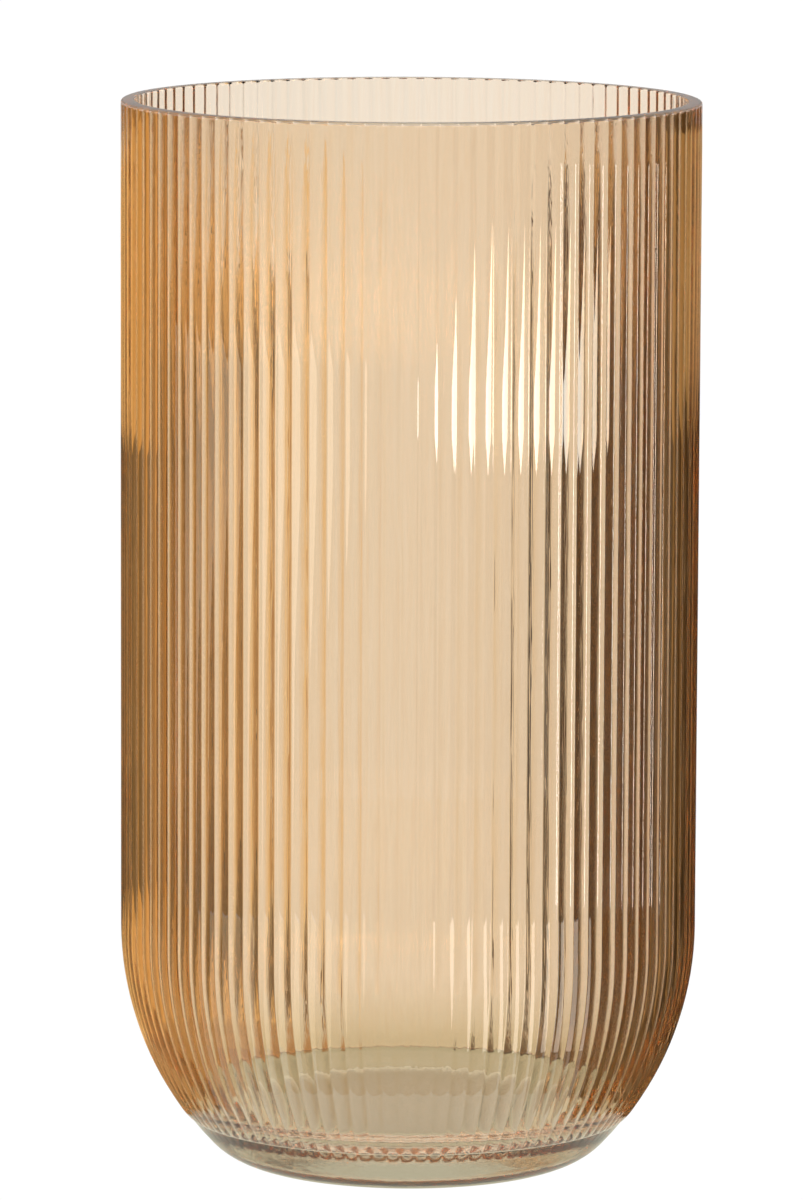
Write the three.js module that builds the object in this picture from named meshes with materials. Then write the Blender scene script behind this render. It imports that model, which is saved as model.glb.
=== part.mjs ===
// A tall glass vase: a mould-blown, reeded cylinder with a bowl-shaped foot, a heavy clear
// base and a cut rim, and the thin amber lustre coat fired onto its reeded outside.
// Millimetres, +Z up. The origin is the centre of the flat underside that it stands on.

import * as THREE from 'three';

// Overall size
const HEIGHT = 352;
const OUTER_RADIUS = 95; // over the reed crests, coat included

// The reeds: upright convex ribs that run all the way round the outside
const REED_COUNT = 100;
const REED_HEIGHT = 0.6; // crest over valley, on the upright wall
const REED_END_HEIGHT = 0.4; // the same where the reeds begin to run out
const FACES_PER_REED = 2; // one flat on each side of the crest

// The amber coat on the reeded wall
const COAT_THICKNESS = 0.2;

// The outside of the glass along the reed valleys, which is also the smooth heel's line
const VALLEY_RADIUS = OUTER_RADIUS - COAT_THICKNESS - REED_HEIGHT;
const BOWL_TOP = 79.4; // height at which the upright wall starts to turn in
const BOWL_RADIUS = 104.5; // of the bowl's curve, seen from the side
const HEEL_RADIUS = 24; // of the tighter turn into the underside
const REEDS_FULL_DOWN_TO = 18.5; // height at which the reeds begin to run out
const REEDS_END_AT = 15.6;
const BOWL_STEPS = 4;
const HEEL_STEPS = 3;

// The inside
const INNER_RADIUS = 90.4;
const INNER_BOWL_TOP = 80;
const INNER_BOWL_RADIUS = 92;
const FLOOR_HEIGHT = 20; // the solid base under the floor
const FLOOR_CORNER_RADIUS = 14;
const INNER_BOWL_STEPS = 4;
const CORNER_STEPS = 2;

// The cut rim, with its ground edges
const RIM_EDGE = 0.8;

const GLASS = { color: 0xe9ece3, roughness: 0.04, metalness: 0, transparent: true, opacity: 0.35 };
const AMBER = { color: 0xe3a862, roughness: 0.06, metalness: 0, transparent: true, opacity: 0.6 };

// A point on a circle in the profile plane: x is the radius from the axis and y the height.
// The angle runs downwards from level.
function onCircle(centre, radius, angle) {
  return new THREE.Vector2(
    centre.x + radius * Math.cos(angle),
    centre.y - radius * Math.sin(angle),
  );
}

// Points along a circle from one angle to another, both ends included.
function arc(centre, radius, from, to, steps) {
  const points = [];
  for (let i = 0; i <= steps; i += 1) {
    points.push(onCircle(centre, radius, THREE.MathUtils.lerp(from, to, i / steps)));
  }
  return points;
}

// The centre of a small circle that rests on a level line and rolls inside a larger circle.
function nestedCentre(outer, outerRadius, smallRadius, levelHeight) {
  const y = levelHeight + smallRadius;
  const reach = outerRadius - smallRadius;
  const drop = outer.y - y;
  return new THREE.Vector2(outer.x + Math.sqrt(reach * reach - drop * drop), y);
}

// The angle at which the two circles meet.
function meetingAngle(outer, small) {
  return Math.atan2(outer.y - small.y, small.x - outer.x);
}

const bowlCentre = new THREE.Vector2(VALLEY_RADIUS - BOWL_RADIUS, BOWL_TOP);
const heelCentre = nestedCentre(bowlCentre, BOWL_RADIUS, HEEL_RADIUS, 0);
const heelAngle = meetingAngle(bowlCentre, heelCentre);
const reedsFullAngle = Math.asin((BOWL_TOP - REEDS_FULL_DOWN_TO) / BOWL_RADIUS);
const reedsEndAngle = Math.asin((BOWL_TOP - REEDS_END_AT) / BOWL_RADIUS);

// The reeded stretch of the outside, from the reeds' lower ends up to the rim's ground edge.
// proud is how far the line stands out from the valleys.
function reededLine(proudTop, proudLow, proudEnd) {
  const line = [onCircle(bowlCentre, BOWL_RADIUS + proudEnd, reedsEndAngle)];
  for (let i = BOWL_STEPS; i >= 0; i -= 1) {
    const share = i / BOWL_STEPS;
    const proud = THREE.MathUtils.lerp(proudTop, proudLow, share);
    line.push(onCircle(bowlCentre, BOWL_RADIUS + proud, reedsFullAngle * share));
  }
  line.push(new THREE.Vector2(VALLEY_RADIUS + proudTop, HEIGHT - RIM_EDGE));
  return line;
}

// The closed outline of the glass, from the middle of the underside round to the middle of
// the floor. Crest and valley outlines differ only along the reeds.
function glassOutline(reeded) {
  const heel = arc(heelCentre, HEEL_RADIUS, Math.PI / 2, heelAngle, HEEL_STEPS);
  const innerCentre = new THREE.Vector2(INNER_RADIUS - INNER_BOWL_RADIUS, INNER_BOWL_TOP);
  const cornerCentre = nestedCentre(
    innerCentre,
    INNER_BOWL_RADIUS,
    FLOOR_CORNER_RADIUS,
    FLOOR_HEIGHT,
  );
  const cornerAngle = meetingAngle(innerCentre, cornerCentre);
  const innerBowl = arc(innerCentre, INNER_BOWL_RADIUS, 0, cornerAngle, INNER_BOWL_STEPS);
  const corner = arc(
    cornerCentre,
    FLOOR_CORNER_RADIUS,
    cornerAngle,
    Math.PI / 2,
    CORNER_STEPS,
  );
  return [
    new THREE.Vector2(0, 0),
    ...heel,
    ...reeded,
    new THREE.Vector2(VALLEY_RADIUS - RIM_EDGE / 2, HEIGHT),
    new THREE.Vector2(INNER_RADIUS + RIM_EDGE / 2, HEIGHT),
    new THREE.Vector2(INNER_RADIUS, HEIGHT - RIM_EDGE),
    ...innerBowl,
    ...corner.slice(1),
    new THREE.Vector2(0, FLOOR_HEIGHT),
  ];
}

// The closed outline of the coat: up the face bonded to the glass and down its outer face.
function coatOutline(bondedFace, outerFace) {
  return [...bondedFace, ...outerFace.slice().reverse(), bondedFace[0].clone()];
}

// Turns an outline round the axis, swinging each reed between its crest and valley outlines.
function reededSolid(crestOutline, valleyOutline) {
  const steps = REED_COUNT * FACES_PER_REED;
  const solid = new THREE.LatheGeometry(crestOutline, steps);
  const valley = new THREE.LatheGeometry(valleyOutline, steps).attributes.position;
  const crest = solid.attributes.position;
  const from = new THREE.Vector3();
  const to = new THREE.Vector3();
  for (let k = 0; k < crest.count; k += 1) {
    const reedsPassed = Math.floor(k / crestOutline.length) / FACES_PER_REED;
    const across = 2 * Math.abs(reedsPassed - Math.round(reedsPassed));
    from.fromBufferAttribute(crest, k);
    to.fromBufferAttribute(valley, k);
    from.lerp(to, across * across);
    crest.setXYZ(k, from.x, from.y, from.z);
  }
  solid.rotateX(Math.PI / 2);
  solid.computeVertexNormals();
  return solid;
}

// Turns every face over. An outline that runs up on its inner side gives a solid that is inside
// out, and this puts it right while its triangles still match those of the face it is bonded to.
function turnedOver(geometry) {
  const index = geometry.index;
  for (let k = 0; k < index.count; k += 3) {
    const first = index.getX(k);
    index.setX(k, index.getX(k + 1));
    index.setX(k + 1, first);
  }
  geometry.computeVertexNormals();
  return geometry;
}

function piece(name, geometry, finish) {
  const mesh = new THREE.Mesh(geometry, new THREE.MeshStandardMaterial(finish));
  mesh.name = name;
  return mesh;
}

const glassCrest = reededLine(REED_HEIGHT, REED_END_HEIGHT, 0);
const glassValley = reededLine(0, 0, 0);
const coatCrest = reededLine(
  REED_HEIGHT + COAT_THICKNESS,
  REED_END_HEIGHT + COAT_THICKNESS,
  COAT_THICKNESS,
);
const coatValley = reededLine(COAT_THICKNESS, COAT_THICKNESS, COAT_THICKNESS);

const vase = new THREE.Group();
vase.add(piece(
  'glass_body',
  reededSolid(glassOutline(glassCrest), glassOutline(glassValley)),
  GLASS,
));
vase.add(piece(
  'amber_coat',
  turnedOver(reededSolid(
    coatOutline(glassCrest, coatCrest),
    coatOutline(glassValley, coatValley),
  )),
  AMBER,
));

export default vase;
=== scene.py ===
"""Models a tall reeded vase of clear glass with an amber lustre coat, and sets it in a studio."""

import math

import bmesh
import bpy
from bpy.props import (
    FloatProperty,
    FloatVectorProperty,
    IntProperty,
    PointerProperty,
)
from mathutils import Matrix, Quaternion, Vector


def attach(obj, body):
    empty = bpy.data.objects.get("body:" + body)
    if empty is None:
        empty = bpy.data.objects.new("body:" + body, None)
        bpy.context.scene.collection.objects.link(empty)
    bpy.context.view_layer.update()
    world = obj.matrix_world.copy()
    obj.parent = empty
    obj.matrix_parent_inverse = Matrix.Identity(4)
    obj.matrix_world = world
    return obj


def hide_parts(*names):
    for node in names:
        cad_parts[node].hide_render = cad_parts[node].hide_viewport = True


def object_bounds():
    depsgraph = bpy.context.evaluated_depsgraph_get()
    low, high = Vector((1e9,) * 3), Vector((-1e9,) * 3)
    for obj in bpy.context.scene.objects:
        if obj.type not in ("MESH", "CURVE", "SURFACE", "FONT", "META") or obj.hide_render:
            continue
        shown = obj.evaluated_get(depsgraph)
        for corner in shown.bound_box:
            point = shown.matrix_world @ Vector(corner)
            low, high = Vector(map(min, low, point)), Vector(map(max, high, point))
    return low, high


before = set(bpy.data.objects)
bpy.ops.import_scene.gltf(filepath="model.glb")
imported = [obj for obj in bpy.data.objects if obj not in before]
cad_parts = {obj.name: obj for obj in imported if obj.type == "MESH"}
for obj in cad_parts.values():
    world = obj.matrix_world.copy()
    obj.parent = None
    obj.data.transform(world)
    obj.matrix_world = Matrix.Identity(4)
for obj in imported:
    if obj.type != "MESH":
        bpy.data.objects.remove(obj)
CAD_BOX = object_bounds()

bl_info = {
    "name": "Reeded Glass Vase",
    "version": (1, 0, 0),
    "blender": (4, 5, 0),
    "location": "View3D > Sidebar > Vase",
    "description": "Blows a reeded glass vase, fires its amber coat on and sets the studio",
    "category": "Object",
}

AXIS = Vector((0.0, 0.0, 0.0))  # where the vase's axis meets the surface it stands on
FULL_TURN = 2.0 * math.pi
GROUND = CAD_BOX[0][2]
WHITE = (1.0, 1.0, 1.0)


# ---------------------------------------------------------------- the settings


class VaseShape(bpy.types.PropertyGroup):
    """The vase's measures. Its height and width are the frame's."""

    reeds: IntProperty(
        name="Reeds", description="Convex ribs round the wall", default=100, min=12
    )
    reed_height: FloatProperty(
        name="Reed height",
        description="Crest over valley on the upright wall",
        default=0.0006,
        unit="LENGTH",
    )
    reed_end_height: FloatProperty(
        name="Reed height at the foot",
        description="Crest over valley where the reeds begin to run out",
        default=0.0005,
        unit="LENGTH",
    )
    coat: FloatProperty(
        name="Coat",
        description="Thickness of the amber lustre coat",
        default=0.00004,
        unit="LENGTH",
    )
    bowl_top: FloatProperty(
        name="Bowl top",
        description="Height at which the upright wall starts to turn in",
        default=0.0794,
        unit="LENGTH",
    )
    bowl_radius: FloatProperty(
        name="Bowl curve",
        description="Radius of the bowl's outer curve, seen from the side",
        default=0.1045,
        unit="LENGTH",
    )
    heel_radius: FloatProperty(
        name="Heel curve",
        description="Radius of the turn into the underside",
        default=0.024,
        unit="LENGTH",
    )
    reeds_full: FloatProperty(
        name="Reeds full down to",
        description="Height at which the reeds begin to run out",
        default=0.0192,
        unit="LENGTH",
    )
    reeds_end: FloatProperty(
        name="Reeds end at",
        description="Height of the reeds' rounded lower ends",
        default=0.0156,
        unit="LENGTH",
    )
    wall: FloatProperty(
        name="Wall",
        description="From the reed crests to the inside",
        default=0.0046,
        unit="LENGTH",
    )
    inner_bowl_top: FloatProperty(
        name="Inner bowl top",
        description="Height at which the inside starts to turn in",
        default=0.080,
        unit="LENGTH",
    )
    inner_bowl_radius: FloatProperty(
        name="Inner bowl curve",
        description="Radius of the bowl's inner curve, seen from the side",
        default=0.092,
        unit="LENGTH",
    )
    floor: FloatProperty(
        name="Base",
        description="Thickness of the solid base",
        default=0.020,
        unit="LENGTH",
    )
    floor_corner: FloatProperty(
        name="Floor corner",
        description="Radius where the inside wall meets the floor",
        default=0.014,
        unit="LENGTH",
    )
    rim_edge: FloatProperty(
        name="Rim edge",
        description="Ground edge on each side of the cut rim",
        default=0.0007,
        unit="LENGTH",
    )


class VaseFinish(bpy.types.PropertyGroup):
    """The colours and polish of the glass and its coat."""

    glass_colour: FloatVectorProperty(
        name="Glass",
        description="What clear glass lets through at one face",
        subtype="COLOR",
        size=3,
        default=(0.985, 0.985, 0.97),
        min=0.0,
        max=1.0,
    )
    amber_colour: FloatVectorProperty(
        name="Amber",
        description="What the lustre coat lets through in one pass",
        subtype="COLOR",
        size=3,
        default=(0.945, 0.833, 0.695),
        min=0.0,
        max=1.0,
    )
    # The heel's tint is mostly painted shade: a dark grey-green that stands in for the shade seen
    # through the heel, over the thick glass's faint cast.
    heel_painted_shade: FloatVectorProperty(
        name="Heel",
        description="Cast of the thick base, seen through the smooth heel",
        subtype="COLOR",
        size=3,
        default=(0.42, 0.37, 0.24),
        min=0.0,
        max=1.0,
    )
    # The rim's tone is painted shade: a grey-beige tint on clear glass that darkens the light the
    # rim face shows.
    rim_painted_shade: FloatVectorProperty(
        name="Rim",
        description="Tone of the ground rim",
        subtype="COLOR",
        size=3,
        default=(0.62, 0.56, 0.47),
        min=0.0,
        max=1.0,
    )
    ior: FloatProperty(
        name="Refraction", description="Index of refraction", default=1.5, min=1.0
    )
    lustre: FloatProperty(
        name="Lustre",
        description="Index of refraction of the metallic film that gives the coat its shine",
        default=1.7,
        min=1.0,
    )


class Studio(bpy.types.PropertyGroup):
    """The camera: its lens, and where it stands and looks."""

    lens: FloatProperty(
        name="Lens",
        description="Focal length in millimetres",
        default=243.3,
        unit="CAMERA",
    )
    distance: FloatProperty(
        name="Camera distance",
        description="From the camera to the point it looks at",
        default=2.671,
        unit="LENGTH",
    )
    look_down: FloatProperty(
        name="Look down",
        description="How far the camera looks down on the vase",
        default=math.radians(8.153),
        unit="ROTATION",
    )
    look_height: FloatProperty(
        name="Look height",
        description="Height of the point that the camera looks at",
        default=0.1868,
        unit="LENGTH",
    )
    look_aside: FloatProperty(
        name="Look aside",
        description="How far to the left of the vase's axis the camera looks",
        default=0.0026,
        unit="LENGTH",
    )
    roll: FloatProperty(
        name="Roll",
        description="How far the camera is rolled, anticlockwise",
        default=math.radians(0.245),
        unit="ROTATION",
    )


# ---------------------------------------------------------------- modelling helpers

NUMBER_FROM = (0.31, 0.17, 0.53)  # off to one side, where no two faces are equally far away


def fresh_start():
    """Leaves edit mode with nothing selected, since the frame's nodes start out selected."""
    if bpy.context.object is not None and bpy.context.object.mode != "OBJECT":
        bpy.ops.object.mode_set(mode="OBJECT")
    bpy.ops.object.select_all(action="DESELECT")


def make_active(piece):
    """Selects one piece alone."""
    fresh_start()
    piece.select_set(True)
    bpy.context.view_layer.objects.active = piece


def apply_modifier(piece, modifier):
    """Makes a modifier's result the piece's own mesh."""
    make_active(piece)
    bpy.ops.object.modifier_apply(modifier=modifier.name)


def number_faces(piece):
    """Numbers the faces by their distance from a point, which gives the same order in each run."""
    make_active(piece)
    bpy.ops.object.mode_set(mode="EDIT")
    bpy.ops.mesh.select_mode(type="FACE")
    bpy.ops.mesh.select_all(action="SELECT")
    cursor = bpy.context.scene.cursor
    cursor.location = NUMBER_FROM
    bpy.ops.mesh.sort_elements(type="CURSOR_DISTANCE", elements={"FACE"})
    cursor.location = AXIS
    bpy.ops.object.mode_set(mode="OBJECT")


def on_circle(centre_radius, centre_height, radius, angle):
    """A point on a side-view circle, as (distance from the axis, height); angles run down."""
    return (
        centre_radius + radius * math.cos(angle),
        centre_height - radius * math.sin(angle),
    )


def nested_centre(outer, outer_radius, small_radius, level):
    """The centre of a small circle standing on a level and touching a larger one inside."""
    height = level + small_radius
    reach = outer_radius - small_radius
    drop = outer[1] - height
    return outer[0] + math.sqrt(reach * reach - drop * drop), height


def meeting_angle(outer, small):
    """The angle at which two such circles meet."""
    return math.atan2(outer[1] - small[1], small[0] - outer[0])


def spaced(start, end, steps):
    """Evenly spaced values from start to end, both included."""
    return [start + (end - start) * i / steps for i in range(steps + 1)]


# ---------------------------------------------------------------- one reed's slice

# Places across half a reed, 0 at its crest and 1 at its valley, closer near the valley
HALF_REED = (0.0, 0.3, 0.58, 0.8, 0.92)
VALLEY_FILL = 0.89  # the valley is filled in beyond this share of its depth

START_SIZE = 0.001  # the plane that a slice starts from, before it is merged to a point
SAME_SCALE = 1e-7  # rows whose scales differ by less than this are scaled in one go
JOIN_WITHIN = 2e-6  # neighbouring slices' edges are joined over this distance


def reed_places():
    """Places across a whole reed, from one valley to the next."""
    right = [*HALF_REED, 1.0]
    return [-place for place in reversed(right[1:])] + right


def reed_rise(place):
    """How far the reed stands up at a place across it, as a share of its height."""
    return 1.0 - min(place * place, VALLEY_FILL)


class Row:
    """One level line across the slice: its radius at the valleys, its height and its reed."""

    def __init__(self, radius, height, reed=0.0):
        self.radius = radius
        self.height = height
        self.reed = reed

    def radii(self):
        """The row's distance from the axis at each place across the reed."""
        return [self.radius + self.reed * reed_rise(place) for place in reed_places()]


def selected_columns(mesh):
    """The selected vertices of the slice, from its left edge to its right."""
    chosen = [v for v in mesh.verts if v.select]
    return sorted(chosen, key=lambda v: math.atan2(v.co.x, -v.co.y))


def draw_first_row(row, half_angle):
    """Starts a slice: a line of edges across one reed, on the side facing -Y."""
    points = []
    for place, radius in zip(reed_places(), row.radii()):
        angle = half_angle * place
        points.append(Vector((radius * math.sin(angle), -radius * math.cos(angle), row.height)))
    fresh_start()
    bpy.ops.mesh.primitive_plane_add(size=START_SIZE)
    slice_object = bpy.context.object
    bpy.ops.object.mode_set(mode="EDIT")
    bpy.ops.mesh.merge(type="CENTER")
    bpy.ops.transform.translate(value=points[0])
    for here, there in zip(points, points[1:]):
        bpy.ops.mesh.extrude_region_move(TRANSFORM_OT_translate={"value": there - here})
    bpy.ops.mesh.select_all(action="SELECT")
    return slice_object


def draw_next_row(slice_object, before, row):
    """Extrudes the selected line to the next row and sets it to that row's radii."""
    rise = Vector((0.0, 0.0, row.height - before.height))
    bpy.ops.mesh.extrude_region_move(TRANSFORM_OT_translate={"value": rise})
    scales = [new / old for new, old in zip(row.radii(), before.radii())]
    if max(scales) - min(scales) < SAME_SCALE:
        scale = scales[0]
        bpy.ops.transform.resize(value=(scale, scale, 1.0), center_override=AXIS)
        return
    mesh = bmesh.from_edit_mesh(slice_object.data)
    columns = [v.index for v in selected_columns(mesh)]
    for index, scale in zip(columns, scales):
        bpy.ops.mesh.select_all(action="DESELECT")
        mesh = bmesh.from_edit_mesh(slice_object.data)
        mesh.verts.ensure_lookup_table()
        mesh.verts[index].select = True
        mesh.select_flush_mode()
        bpy.ops.transform.resize(value=(scale, scale, 1.0), center_override=AXIS)
    mesh = bmesh.from_edit_mesh(slice_object.data)
    mesh.verts.ensure_lookup_table()
    for index in columns:
        mesh.verts[index].select = True
    mesh.select_flush_mode()


def spin_slice(slice_object, reeds):
    """Repeats the slice round the axis and joins its seams."""
    bpy.ops.mesh.select_all(action="SELECT")
    bpy.ops.mesh.spin(
        steps=reeds - 1,
        dupli=True,
        angle=FULL_TURN * (reeds - 1) / reeds,
        center=AXIS,
        axis=(0.0, 0.0, 1.0),
    )
    bpy.ops.mesh.select_all(action="SELECT")
    bpy.ops.mesh.remove_doubles(threshold=JOIN_WITHIN)
    bpy.ops.mesh.normals_make_consistent(inside=False)
    bpy.ops.object.mode_set(mode="OBJECT")


def close_centre():
    """Closes the slice's selected row to a point on the axis."""
    bpy.ops.mesh.extrude_region_move(TRANSFORM_OT_translate={"value": (0.0, 0.0, 0.0)})
    bpy.ops.transform.resize(value=(0.0, 0.0, 1.0), center_override=AXIS)
    bpy.ops.mesh.merge(type="CENTER")


# ---------------------------------------------------------------- the glass body


BOND_GAP = 0.00001  # optical bond between the glass and its coat
RIM_BRACE = 0.0006  # a row this far below the ground edges keeps the walls flat up to them

# How many steps each stretch of the outline is drawn in
RUN_OUT_ROWS = 7
BOWL_ROWS = 16
WALL_ROWS = 18
HEEL_ROWS = 9
BAND_ROWS = 2
INNER_WALL_ROWS = 9
INNER_BOWL_ROWS = 8
CORNER_ROWS = 6

# The ground rim's rows, as shares of its edge: how far in from the wall, and below the top
OUTER_ROUND = (0.1, 0.35)
OUTER_FLAT = 0.75
INNER_FLAT = 0.6
INNER_ROUND = (0.15, 0.3)
REED_LEFT_AT_RIM = 0.45  # share of the reeds' height that grinding leaves at the outer edge

# The body's materials, by the number of their slot
BONDED_FACES = 1
RIM_FACES = 2
HEEL_FACES = 3
EDGE_ROOM = 0.00001  # play when vertices and faces are told apart by where they lie
SAME_LEVEL = 0.000001  # vertices whose heights differ by less than this are level
FACES_UP = 0.3  # on the rim, a face whose normal rises by more than this is ground
FLAT_FOOT = -0.99  # on the heel, one whose normal falls to this is the flat underside
SHARP_FROM = math.radians(32.0)  # edges that turn by more than this stay sharp


def reeded_rows(shape):
    """The outside from the reeds' lower ends up to the rim's ground edge."""
    skin = shape.coat + BOND_GAP
    valley = CAD_BOX[1][0] - skin - shape.reed_height
    centre = (valley - shape.bowl_radius, shape.bowl_top)
    full = math.asin((shape.bowl_top - shape.reeds_full) / shape.bowl_radius)
    end = math.asin((shape.bowl_top - shape.reeds_end) / shape.bowl_radius)
    rows = []
    for angle in spaced(end, full, RUN_OUT_ROWS):
        radius, height = on_circle(*centre, shape.bowl_radius, angle)
        share = (end - angle) / (end - full)
        reed = shape.reed_end_height * math.sqrt(1.0 - (1.0 - share) ** 2)
        rows.append(Row(radius, height, reed / math.cos(angle)))
    for angle in spaced(full, 0.0, BOWL_ROWS)[1:]:
        radius, height = on_circle(*centre, shape.bowl_radius, angle)
        reed = shape.reed_height + (shape.reed_end_height - shape.reed_height) * angle / full
        rows.append(Row(radius, height, reed / math.cos(angle)))
    top = CAD_BOX[1][2] - shape.rim_edge
    for height in spaced(shape.bowl_top, top - RIM_BRACE, WALL_ROWS)[1:]:
        rows.append(Row(valley, height, shape.reed_height))
    rows.append(Row(valley, top, shape.reed_height))
    return rows, centre


def body_rows(shape):
    """Every row of the glass, from the foot's flat round to the floor inside."""
    reeded, bowl_centre = reeded_rows(shape)
    heel_centre = nested_centre(bowl_centre, shape.bowl_radius, shape.heel_radius, GROUND)
    heel_angle = meeting_angle(bowl_centre, heel_centre)
    rows = []
    for angle in spaced(math.pi / 2.0, heel_angle, HEEL_ROWS):
        rows.append(Row(*on_circle(*heel_centre, shape.heel_radius, angle)))
    end = math.asin((shape.bowl_top - shape.reeds_end) / shape.bowl_radius)
    for angle in spaced(heel_angle, end, BAND_ROWS)[1:-1]:
        rows.append(Row(*on_circle(*bowl_centre, shape.bowl_radius, angle)))
    rows += reeded
    top = CAD_BOX[1][2]
    inside = CAD_BOX[1][0] - shape.wall
    edge = shape.rim_edge
    outside = reeded[-1].radius
    rim_reed = REED_LEFT_AT_RIM * shape.reed_height
    rows.append(Row(outside - OUTER_ROUND[0] * edge, top - OUTER_ROUND[1] * edge, rim_reed))
    rows.append(Row(outside - OUTER_FLAT * edge, top))
    rows.append(Row(inside + INNER_FLAT * edge, top))
    rows.append(Row(inside + INNER_ROUND[0] * edge, top - INNER_ROUND[1] * edge))
    rows.append(Row(inside, top - edge))
    for height in spaced(top - edge - RIM_BRACE, shape.inner_bowl_top, INNER_WALL_ROWS):
        rows.append(Row(inside, height))
    inner_centre = (inside - shape.inner_bowl_radius, shape.inner_bowl_top)
    floor = GROUND + shape.floor
    corner_centre = nested_centre(
        inner_centre, shape.inner_bowl_radius, shape.floor_corner, floor
    )
    corner_angle = meeting_angle(inner_centre, corner_centre)
    for angle in spaced(0.0, corner_angle, INNER_BOWL_ROWS)[1:]:
        rows.append(Row(*on_circle(*inner_centre, shape.inner_bowl_radius, angle)))
    for angle in spaced(corner_angle, math.pi / 2.0, CORNER_ROWS)[1:]:
        rows.append(Row(*on_circle(*corner_centre, shape.floor_corner, angle)))
    return rows


def model_glass(shape):
    """Models one reed's slice of the vase, foot to floor, and spins it into the whole body."""
    rows = body_rows(shape)
    half_angle = math.pi / shape.reeds
    body = draw_first_row(rows[0], half_angle)
    for before, row in zip(rows, rows[1:]):
        draw_next_row(body, before, row)
    close_centre()
    bpy.ops.mesh.select_all(action="DESELECT")
    mesh = bmesh.from_edit_mesh(body.data)
    foot_edge = rows[0].radius + EDGE_ROOM
    for v in mesh.verts:
        level = abs(v.co.z - rows[0].height) < SAME_LEVEL
        v.select = level and math.hypot(v.co.x, v.co.y) < foot_edge
    mesh.select_flush_mode()
    close_centre()
    spin_slice(body, shape.reeds)
    body.name = "glass_body_fine"
    return body


def sort_faces(body, shape):
    """Gives the faces under the coat, on the ground rim and on the heel their own materials."""
    low = shape.reeds_end - EDGE_ROOM
    high = CAD_BOX[1][2] - shape.rim_edge + EDGE_ROOM
    for face in body.data.polygons:
        heights = [body.data.vertices[i].co.z for i in face.vertices]
        outward = face.normal.x * face.center.x + face.normal.y * face.center.y > 0.0
        if outward and min(heights) > low and max(heights) < high:
            face.material_index = BONDED_FACES
        elif min(heights) > high - 2.0 * EDGE_ROOM and face.normal.z > FACES_UP:
            face.material_index = RIM_FACES
        elif outward and max(heights) < low + 2.0 * EDGE_ROOM and face.normal.z > FLAT_FOOT:
            face.material_index = HEEL_FACES


# ---------------------------------------------------------------- materials


# A grain is how many waves a metre a pattern has each way, and a relief is its height in metres
STREAK_GRAIN = (700.0, 700.0, 22.0)  # drawn upright in the inside of the glass
STREAK_RELIEF = 0.00003
RIPPLE_GRAIN = (170.0, 170.0, 60.0)  # ripples that grow towards the rim
RIPPLE_RELIEF = 0.0001
RIPPLE_SWIRL = 1.2
RIPPLES_FROM = 0.25  # height where they begin, and where they are full
RIPPLES_FULL = 0.345
LUSTRE_GRAIN = (260.0, 260.0, 34.0)
LUSTRE_RELIEF = 0.00004
DRIFT_GRAIN = (420.0, 420.0, 26.0)  # the coat's uneven thickness
DRIFT_DETAIL = 4.0
DRIFT_SWIRL = 1.5
HEEL_GRAIN = (260.0, 260.0, 420.0)
HEEL_RELIEF = 0.00006
RIM_GRAIN = (2500.0, 2500.0, 2500.0)
RIM_RELIEF = 0.00001
RIM_ROUGHNESS = 0.4
COAT_ROUGHNESS = 0.01
THICK_FILM = 3.6  # the power to which the coat's tint is raised where the film lies thickest
INNER_SHINE = (0.2, 0.2, 0.2)  # the fire-polished inside reflects little
BOND_SHARE = 0.85  # how much of the coat's tint is taken at its bonded face


def new_material(name):
    """An empty material: itself, its node tree and its output."""
    material = bpy.data.materials.new(name)
    material.use_nodes = True
    material.node_tree.nodes.clear()
    output = material.node_tree.nodes.new("ShaderNodeOutputMaterial")
    return material, material.node_tree, output


def glass_shader(tree, colour, ior):
    """Polished glass that refracts."""
    shader = tree.nodes.new("ShaderNodeBsdfPrincipled")
    shader.inputs["Base Color"].default_value = (*colour, 1.0)
    shader.inputs["Roughness"].default_value = 0.0
    shader.inputs["IOR"].default_value = ior
    shader.inputs["Transmission Weight"].default_value = 1.0
    return shader


def noise(tree, grain, detail=2.0, swirl=0.0):
    """Noise on the piece's own coordinates, from 0 to 1."""
    place = tree.nodes.new("ShaderNodeTexCoord")
    mapping = tree.nodes.new("ShaderNodeMapping")
    mapping.inputs["Scale"].default_value = grain
    pattern = tree.nodes.new("ShaderNodeTexNoise")
    pattern.inputs["Scale"].default_value = 1.0
    pattern.inputs["Detail"].default_value = detail
    pattern.inputs["Distortion"].default_value = swirl
    tree.links.new(place.outputs["Object"], mapping.inputs["Vector"])
    tree.links.new(mapping.outputs["Vector"], pattern.inputs["Vector"])
    return pattern.outputs["Fac"]


def times(tree, value, factor):
    """A value times a number or another value."""
    node = tree.nodes.new("ShaderNodeMath")
    node.operation = "MULTIPLY"
    tree.links.new(value, node.inputs[0])
    if isinstance(factor, float):
        node.inputs[1].default_value = factor
    else:
        tree.links.new(factor, node.inputs[1])
    return node.outputs[0]


def plus(tree, first, second):
    """One value added to another."""
    node = tree.nodes.new("ShaderNodeMath")
    node.operation = "ADD"
    tree.links.new(first, node.inputs[0])
    tree.links.new(second, node.inputs[1])
    return node.outputs[0]


def towards_rim(tree, low, high):
    """From 0 at one height to 1 at another."""
    place = tree.nodes.new("ShaderNodeTexCoord")
    parts = tree.nodes.new("ShaderNodeSeparateXYZ")
    share = tree.nodes.new("ShaderNodeMapRange")
    share.inputs["From Min"].default_value = low
    share.inputs["From Max"].default_value = high
    tree.links.new(place.outputs["Object"], parts.inputs["Vector"])
    tree.links.new(parts.outputs["Z"], share.inputs["Value"])
    return share.outputs["Result"]


def relief(tree, shader, height):
    """Raises the surface by a height in metres."""
    bump = tree.nodes.new("ShaderNodeBump")
    bump.inputs["Distance"].default_value = 1.0
    tree.links.new(height, bump.inputs["Height"])
    tree.links.new(bump.outputs["Normal"], shader.inputs["Normal"])


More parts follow.
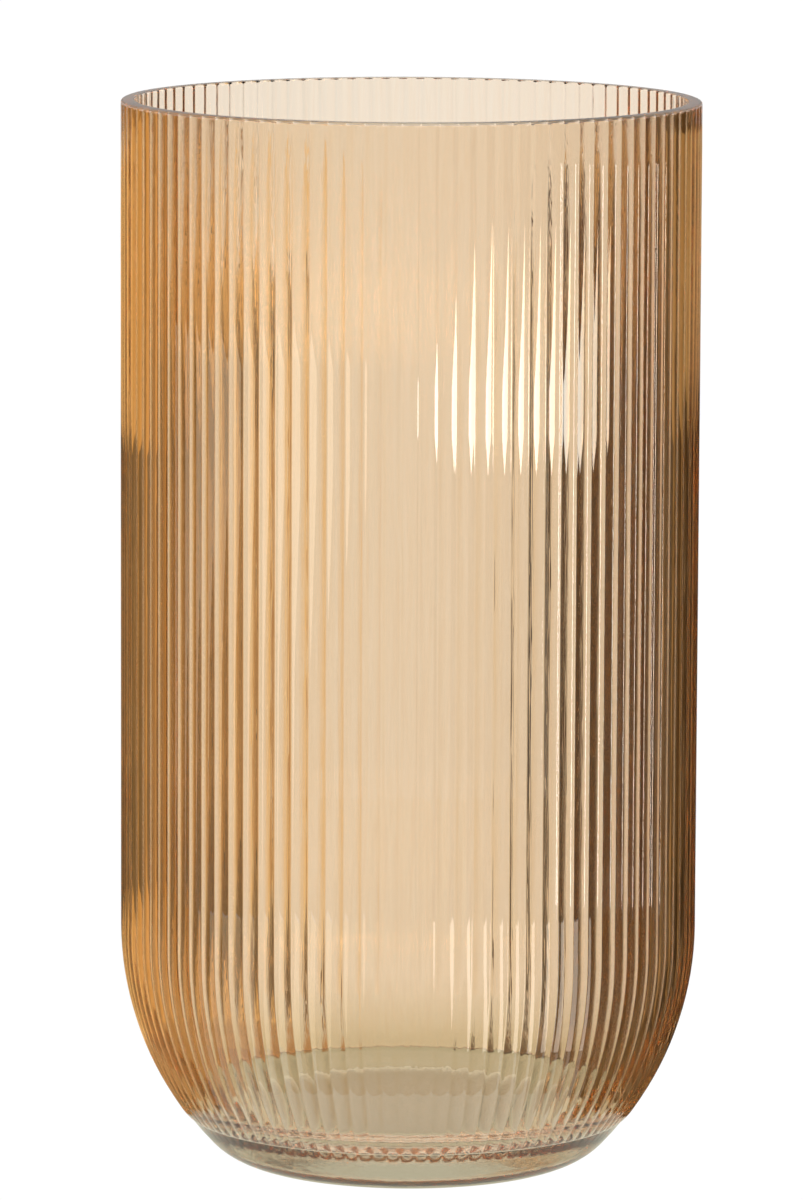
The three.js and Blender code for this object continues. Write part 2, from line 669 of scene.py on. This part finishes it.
def clear_glass(finish):
    """Clear glass with the drawn streaks and ripples that blowing leaves on its inside."""
    material, tree, output = new_material("clear_glass")
    shader = glass_shader(tree, finish.glass_colour, finish.ior)
    shader.inputs["Specular Tint"].default_value = (*INNER_SHINE, 1.0)
    streaks = times(tree, noise(tree, STREAK_GRAIN), STREAK_RELIEF)
    ripples = times(tree, noise(tree, RIPPLE_GRAIN, swirl=RIPPLE_SWIRL), RIPPLE_RELIEF)
    rim = towards_rim(tree, RIPPLES_FROM, RIPPLES_FULL)
    relief(tree, shader, plus(tree, streaks, times(tree, ripples, rim)))
    tree.links.new(shader.outputs[0], output.inputs["Surface"])
    return material


def amber_glass(finish):
    """The amber lustre: a tinted film with a metallic shine and a faint uneven flow."""
    material, tree, output = new_material("amber_lustre")
    tint = tuple(c ** (2.0 * (1.0 - BOND_SHARE)) for c in finish.amber_colour)
    shader = glass_shader(tree, tint, finish.ior)
    shader.inputs["Coat Weight"].default_value = 1.0
    shader.inputs["Coat IOR"].default_value = finish.lustre
    shader.inputs["Coat Roughness"].default_value = COAT_ROUGHNESS
    uneven = tree.nodes.new("ShaderNodeMix")
    uneven.data_type = "RGBA"
    uneven.inputs["A"].default_value = (*WHITE, 1.0)
    uneven.inputs["B"].default_value = (*(c ** THICK_FILM for c in tint), 1.0)
    drift = noise(tree, DRIFT_GRAIN, DRIFT_DETAIL, DRIFT_SWIRL)
    tree.links.new(drift, uneven.inputs["Factor"])
    tree.links.new(uneven.outputs["Result"], shader.inputs["Base Color"])
    relief(tree, shader, times(tree, noise(tree, LUSTRE_GRAIN), LUSTRE_RELIEF))
    tree.links.new(shader.outputs[0], output.inputs["Surface"])
    return material


def heel_glass_painted_shade(finish):
    """The smooth clear heel, tinted dark grey-green: the thick glass's faint cast plus painted
    shade that darkens what is seen through the heel.
    """
    material, tree, output = new_material("heel_glass_painted_shade")
    # The heel's dark tint is painted shade, over the glass's faint cast.
    shader = glass_shader(tree, finish.heel_painted_shade, finish.ior)
    relief(tree, shader, times(tree, noise(tree, HEEL_GRAIN), HEEL_RELIEF))
    tree.links.new(shader.outputs[0], output.inputs["Surface"])
    return material


def ground_glass(finish):
    """The cut rim, ground to a satin finish, its clear glass tinted grey-beige as painted shade
    that mutes the rim's light.
    """
    material, tree, output = new_material("ground_rim")
    # The rim's grey-beige tint is painted shade; its roughness is the real ground finish.
    shader = glass_shader(tree, finish.rim_painted_shade, finish.ior)
    shader.inputs["Roughness"].default_value = RIM_ROUGHNESS
    relief(tree, shader, times(tree, noise(tree, RIM_GRAIN), RIM_RELIEF))
    tree.links.new(shader.outputs[0], output.inputs["Surface"])
    return material


def bonded_face(name, colour):
    """A face where glass and coat are fused: light passes straight on and takes the tint."""
    material, tree, output = new_material(name)
    shader = tree.nodes.new("ShaderNodeBsdfTransparent")
    shader.inputs["Color"].default_value = (*colour, 1.0)
    tree.links.new(shader.outputs[0], output.inputs["Surface"])
    return material


# ---------------------------------------------------------------- the studio

MOST_BOUNCES = 64
SENSOR_WIDTH = 36.0  # of the camera, in millimetres
FLOOR_SIZE = 40.0
FLOOR_DROP = 0.0002  # the floor lies this far under the vase, so that the two don't touch
SHADE_DROP = 0.00015
SHADE_REACH = 0.28
SHADE_SIDES = 64
# The floor's tone at distances from the vase's axis: soft shade round the foot, dark under it
SHADE_TONES = (
    (0.15, (0.74, 0.73, 0.61)),
    (0.056, (0.68, 0.67, 0.54)),
    (0.044, (0.26, 0.23, 0.16)),
)
FLOOR_CARD_LIFT = 0.0002  # each card lies this much above the one laid before it
WHITE_LIGHT = 1.02  # the room's and the floor's light, a little over white so that they burn out

# Cards that stand on the turntable, lit or dark. Each has its distance from the vase, its glow at
# the first and at the last station, and its stations: azimuth in degrees from straight behind the
# vase and clockwise from above, lower edge and upper edge. A fade eases the light into a flag, a
# flag darkens one side of the vase, an upper card shows over it, and wings and rooms stand in for
# the dark studio further out. The wedges and the softbox are the lamps.
CARDS = {
    "right_fade": (0.155, (1.0, 1.0, 1.0), (0.92, 0.84, 0.70), (
        (12.0, 0.020, 0.230), (32.0, 0.020, 0.300),
    )),
    "right_flag": (0.150, (0.03, 0.02, 0.01), (0.02, 0.012, 0.006), (
        (30.0, 0.0, 0.240), (34.0, 0.0, 0.306), (39.0, 0.0, 0.325), (48.0, 0.0, 0.295),
        (60.0, 0.0, 0.258), (80.0, 0.0, 0.232),
    )),
    "right_upper": (0.160, (0.85, 0.66, 0.38), (0.40, 0.24, 0.09), (
        (31.0, 0.0, 0.280), (40.0, 0.0, 0.322), (50.0, 0.0, 0.336), (80.0, 0.0, 0.336),
    )),
    "right_wing": (0.50, (0.07, 0.04, 0.015), (0.07, 0.04, 0.015), (
        (30.0, 0.0, 0.36), (95.0, 0.0, 0.36),
    )),
    "left_fade": (0.155, (1.0, 1.0, 1.0), (1.0, 0.72, 0.34), (
        (-14.0, 0.020, 0.300), (-30.0, 0.020, 0.333),
    )),
    "left_flag": (0.150, (0.60, 0.34, 0.12), (0.16, 0.10, 0.045), (
        (-32.0, 0.0, 0.270), (-41.0, 0.030, 0.258), (-55.0, 0.062, 0.236),
        (-80.0, 0.082, 0.228),
    )),
    "left_top_shade": (0.147, (0.20, 0.12, 0.05), (0.16, 0.10, 0.045), (
        (-30.0, 0.262, 0.290), (-42.0, 0.226, 0.262), (-60.0, 0.200, 0.236),
        (-80.0, 0.190, 0.228),
    )),
    "left_foot_shade": (0.147, (0.20, 0.12, 0.05), (0.14, 0.09, 0.04), (
        (-26.0, 0.0, 0.040), (-40.0, 0.022, 0.080), (-60.0, 0.058, 0.115),
        (-80.0, 0.082, 0.130),
    )),
    "left_upper": (0.160, (1.0, 0.72, 0.34), (0.80, 0.42, 0.12), (
        (-24.0, 0.0, 0.240), (-36.0, 0.0, 0.285), (-52.0, 0.0, 0.325), (-80.0, 0.0, 0.345),
    )),
    "left_wing": (0.50, (0.38, 0.19, 0.055), (0.38, 0.19, 0.055), (
        (-30.0, 0.0, 0.36), (-105.0, 0.0, 0.36),
    )),
    "front_room": (0.90, (0.50, 0.44, 0.34), (0.50, 0.44, 0.34), (
        (141.0, 0.0, 0.40), (180.0, 0.0, 0.40), (219.0, 0.0, 0.40),
    )),
    "right_room": (0.70, (0.08, 0.055, 0.03), (0.20, 0.15, 0.10), (
        (92.0, 0.0, 0.48), (150.0, 0.0, 0.48),
    )),
    "left_room": (0.70, (0.50, 0.28, 0.10), (0.50, 0.38, 0.24), (
        (-102.0, 0.0, 0.48), (-150.0, 0.0, 0.48),
    )),
    "right_wedge": (0.60, (7.0, 6.7, 6.0), (7.0, 5.6, 3.8), (
        (150.0, 0.190, 0.208), (138.0, 0.174, 0.230), (124.0, 0.188, 0.270),
    )),
    "right_softbox": (0.60, (7.0, 6.5, 5.6), (7.0, 6.5, 5.6), (
        (99.0, 0.0, 0.290), (96.5, 0.0, 0.290),
    )),
    "left_wedge": (0.60, (1.9, 1.5, 1.0), (1.5, 1.1, 0.7), (
        (-140.0, 0.170, 0.215), (-115.0, 0.100, 0.225), (-105.0, 0.0, 0.230),
    )),
}
# Cards that lie on the floor: nearest and farthest distance, glow, first and last azimuth
FLOOR_CARDS = {
    "front_floor": (0.11, 0.90, (0.42, 0.33, 0.20), 140.0, 220.0),
    "right_floor_light": (0.15, 0.60, (2.4, 2.1, 1.7), 146.0, 132.0),
    "right_floor_room": (0.09, 0.72, (0.14, 0.08, 0.03), 132.0, 96.0),
    "left_floor_light": (0.15, 0.60, (1.2, 0.95, 0.6), -142.0, -118.0),
    "left_floor_room": (0.09, 0.72, (0.50, 0.28, 0.10), -118.0, -96.0),
    "right_floor_flag": (0.085, 0.56, (0.10, 0.06, 0.025), 26.0, 97.0),
    "left_floor_flag": (0.085, 0.56, (0.52, 0.29, 0.11), -26.0, -97.0),
    "right_floor_edge": (0.60, 0.90, (0.20, 0.15, 0.10), 150.0, 96.0),
    "left_floor_edge": (0.60, 0.90, (0.50, 0.34, 0.18), -150.0, -96.0),
}
CARD_PANELS = 16  # flat panels that a bent card is made of


def place_camera(scene):
    """Sets up the camera and looks through it."""
    studio = scene.studio
    lens = bpy.data.cameras.new("camera")
    lens.lens = studio.lens
    lens.sensor_width = SENSOR_WIDTH
    camera = bpy.data.objects.new("camera", lens)
    scene.collection.objects.link(camera)
    target = Vector((-studio.look_aside, 0.0, studio.look_height))
    back = Vector((0.0, -math.cos(studio.look_down), math.sin(studio.look_down)))
    level = (-back).to_track_quat("-Z", "Y")
    camera.location = target + back * studio.distance
    camera.rotation_euler = (level @ Quaternion((0.0, 0.0, 1.0), studio.roll)).to_euler()
    scene.camera = camera
    return camera


def lay_turntable(scene, camera):
    """A turntable for the cards, which turns them with the camera so each view is lit alike."""
    turntable = bpy.data.objects.new("turntable", None)
    scene.collection.objects.link(turntable)
    turn = turntable.constraints.new("COPY_ROTATION")
    turn.target = camera
    turn.use_x = False
    turn.use_y = False
    return turntable


def light_room(scene):
    """Even white light from all round."""
    world = bpy.data.worlds.new("studio_world")
    world.use_nodes = True
    background = world.node_tree.nodes["Background"]
    background.inputs["Color"].default_value = (*WHITE, 1.0)
    background.inputs["Strength"].default_value = WHITE_LIGHT
    scene.world = world


def glowing(name, colour, glow=1.0):
    """A surface that shines evenly."""
    material, tree, output = new_material(name)
    shader = tree.nodes.new("ShaderNodeEmission")
    shader.inputs["Color"].default_value = (*colour, 1.0)
    shader.inputs["Strength"].default_value = glow
    tree.links.new(shader.outputs[0], output.inputs["Surface"])
    return material


def fading(name, first, last):
    """A glow that changes evenly from one end of a card to the other."""
    material, tree, output = new_material(name)
    place = tree.nodes.new("ShaderNodeTexCoord")
    parts = tree.nodes.new("ShaderNodeSeparateXYZ")
    tone = tree.nodes.new("ShaderNodeMix")
    tone.data_type = "RGBA"
    tone.inputs["A"].default_value = (*first, 1.0)
    tone.inputs["B"].default_value = (*last, 1.0)
    shader = tree.nodes.new("ShaderNodeEmission")
    tree.links.new(place.outputs["UV"], parts.inputs["Vector"])
    tree.links.new(parts.outputs["X"], tone.inputs["Factor"])
    tree.links.new(tone.outputs["Result"], shader.inputs["Color"])
    tree.links.new(shader.outputs[0], output.inputs["Surface"])
    return material


def shaded_floor(name, reach):
    """A pale surface that darkens towards the middle, where the vase keeps the light off it."""
    material, tree, output = new_material(name)
    place = tree.nodes.new("ShaderNodeTexCoord")
    mapping = tree.nodes.new("ShaderNodeMapping")
    mapping.inputs["Scale"].default_value = (1.0 / reach, 1.0 / reach, 1.0 / reach)
    falloff = tree.nodes.new("ShaderNodeTexGradient")
    falloff.gradient_type = "SPHERICAL"
    tone = tree.nodes.new("ShaderNodeValToRGB")
    tone.color_ramp.elements.remove(tone.color_ramp.elements[-1])
    tone.color_ramp.elements[0].color = (*WHITE, 1.0)
    for distance, colour in SHADE_TONES:
        tone.color_ramp.elements.new(1.0 - distance / reach).color = (*colour, 1.0)
    shader = tree.nodes.new("ShaderNodeEmission")
    shader.inputs["Strength"].default_value = WHITE_LIGHT
    tree.links.new(place.outputs["Object"], mapping.inputs["Vector"])
    tree.links.new(mapping.outputs["Vector"], falloff.inputs["Vector"])
    tree.links.new(falloff.outputs["Fac"], tone.inputs["Fac"])
    tree.links.new(tone.outputs["Color"], shader.inputs["Color"])
    tree.links.new(shader.outputs[0], output.inputs["Surface"])
    return material


def lay_floor():
    """A pale table top, lit evenly from below, and the vase's soft shade on it."""
    fresh_start()
    bpy.ops.mesh.primitive_plane_add(size=FLOOR_SIZE, location=(0.0, 0.0, GROUND - FLOOR_DROP))
    floor = bpy.context.object
    floor.name = "floor"
    floor.data.materials.append(glowing("pale_floor", WHITE, WHITE_LIGHT))
    floor.visible_shadow = False
    bpy.ops.mesh.primitive_circle_add(
        vertices=SHADE_SIDES,
        radius=SHADE_REACH,
        fill_type="NGON",
        location=(0.0, 0.0, GROUND - SHADE_DROP),
    )
    shade = bpy.context.object
    shade.name = "floor_shade"
    shade.data.materials.append(shaded_floor("floor_shade", SHADE_REACH))
    shade.visible_camera = False
    shade.visible_shadow = False


def between(stations, share):
    """The values part of the way along a row of stations."""
    place = share * (len(stations) - 1)
    before = min(int(place), len(stations) - 2)
    part = place - before
    return [a + (b - a) * part for a, b in zip(stations[before], stations[before + 1])]


def studio_card(turntable, material, place):
    """A card bent into shape: place gives where a point goes from its shares across and up."""
    fresh_start()
    bpy.ops.mesh.primitive_grid_add(x_subdivisions=CARD_PANELS, y_subdivisions=1, size=1.0)
    card = bpy.context.object
    card.name = material.name
    for v in card.data.vertices:
        v.co = place(v.co.x + 0.5, v.co.y + 0.5)
    card.data.materials.append(material)
    card.visible_camera = False
    card.visible_diffuse = False
    card.visible_shadow = False
    card.parent = turntable


def stand_card(turntable, name, distance, first, last, stations):
    """A card that stands on edge, bent round the vase."""

    def place(across, up):
        azimuth, low, high = between(stations, across)
        turn = math.radians(azimuth)
        height = low + (high - low) * up
        return distance * math.sin(turn), distance * math.cos(turn), height

    material = glowing(name, first) if first == last else fading(name, first, last)
    studio_card(turntable, material, place)


def lay_card(turntable, name, lift, near, far, glow, first, last):
    """A card that lies flat round the vase."""

    def place(across, out):
        turn = math.radians(first + (last - first) * across)
        distance = near + (far - near) * out
        return distance * math.sin(turn), distance * math.cos(turn), lift

    studio_card(turntable, glowing(name, glow), place)


# ---------------------------------------------------------------- the operators


class VASE_OT_glass_body(bpy.types.Operator):
    """Blow the clear glass body into its reeded mould"""

    bl_idname = "vase.glass_body"
    bl_label = "Blow the Glass Body"

    def execute(self, context):
        scene = context.scene
        body = model_glass(scene.vase_shape)
        number_faces(body)
        bpy.ops.object.shade_smooth_by_angle(angle=SHARP_FROM)
        body.data.materials.append(clear_glass(scene.vase_finish))
        body.data.materials.append(bonded_face("bonded_glass_face", WHITE))
        body.data.materials.append(ground_glass(scene.vase_finish))
        body.data.materials.append(heel_glass_painted_shade(scene.vase_finish))
        sort_faces(body, scene.vase_shape)
        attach(body, "root")
        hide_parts("glass_body")
        return {"FINISHED"}


class VASE_OT_amber_coat(bpy.types.Operator):
    """Fire the amber lustre coat onto the outside of the reeds"""

    bl_idname = "vase.amber_coat"
    bl_label = "Fire on the Amber Coat"

    def execute(self, context):
        scene = context.scene
        body = bpy.data.objects["glass_body_fine"]
        make_active(body)
        bpy.ops.object.mode_set(mode="EDIT")
        bpy.ops.mesh.select_mode(type="FACE")
        bpy.ops.mesh.select_all(action="DESELECT")
        body.active_material_index = BONDED_FACES
        bpy.ops.object.material_slot_select()
        bpy.ops.mesh.duplicate()
        bpy.ops.transform.shrink_fatten(value=BOND_GAP)
        bpy.ops.mesh.separate(type="SELECTED")
        bpy.ops.object.mode_set(mode="OBJECT")
        coat = [o for o in context.selected_objects if o is not body][0]
        coat.name = "amber_coat_fine"
        coat.data.materials.clear()
        coat.data.materials.append(amber_glass(scene.vase_finish))
        tint = tuple(c ** BOND_SHARE for c in scene.vase_finish.amber_colour)
        coat.data.materials.append(bonded_face("bonded_coat_face", tint))
        thickness = coat.modifiers.new("thickness", "SOLIDIFY")
        thickness.thickness = scene.vase_shape.coat
        thickness.offset = 1.0
        thickness.material_offset = 1
        thickness.material_offset_rim = 0
        apply_modifier(coat, thickness)
        number_faces(coat)
        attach(coat, "root")
        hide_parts("amber_coat")
        return {"FINISHED"}


class VASE_OT_studio(bpy.types.Operator):
    """Set the floor, the lights and the camera"""

    bl_idname = "vase.studio"
    bl_label = "Set the Studio"

    def execute(self, context):
        scene = context.scene
        camera = place_camera(scene)
        turntable = lay_turntable(scene, camera)
        light_room(scene)
        lay_floor()
        for name, card in CARDS.items():
            stand_card(turntable, name, *card)
        for order, (name, card) in enumerate(FLOOR_CARDS.items(), start=1):
            lay_card(turntable, name, order * FLOOR_CARD_LIFT, *card)
        scene.view_settings.view_transform = "Standard"
        scene.cycles.max_bounces = MOST_BOUNCES
        scene.cycles.transmission_bounces = MOST_BOUNCES
        scene.cycles.glossy_bounces = MOST_BOUNCES
        scene.cycles.transparent_max_bounces = 2 * MOST_BOUNCES
        return {"FINISHED"}


class VASE_PT_workshop(bpy.types.Panel):
    """The vase's settings and steps"""

    bl_label = "Reeded Glass Vase"
    bl_idname = "VASE_PT_workshop"
    bl_space_type = "VIEW_3D"
    bl_region_type = "UI"
    bl_category = "Vase"

    def draw(self, context):
        scene = context.scene
        for settings in (scene.vase_shape, scene.vase_finish, scene.studio):
            box = self.layout.box()
            for name in type(settings).__annotations__:
                box.prop(settings, name)
        for operator in OPERATORS:
            self.layout.operator(operator.bl_idname)


OPERATORS = (VASE_OT_glass_body, VASE_OT_amber_coat, VASE_OT_studio)
CLASSES = (VaseShape, VaseFinish, Studio, *OPERATORS, VASE_PT_workshop)


def register():
    """Adds the classes and the scene's settings."""
    for cls in CLASSES:
        bpy.utils.register_class(cls)
    bpy.types.Scene.vase_shape = PointerProperty(type=VaseShape)
    bpy.types.Scene.vase_finish = PointerProperty(type=VaseFinish)
    bpy.types.Scene.studio = PointerProperty(type=Studio)


def unregister():
    """Takes them away again."""
    del bpy.types.Scene.studio
    del bpy.types.Scene.vase_finish
    del bpy.types.Scene.vase_shape
    for cls in reversed(CLASSES):
        bpy.utils.unregister_class(cls)


def main():
    """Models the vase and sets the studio."""
    register()
    bpy.ops.vase.glass_body()
    bpy.ops.vase.amber_coat()
    bpy.ops.vase.studio()


if __name__ == "__main__":
    main()
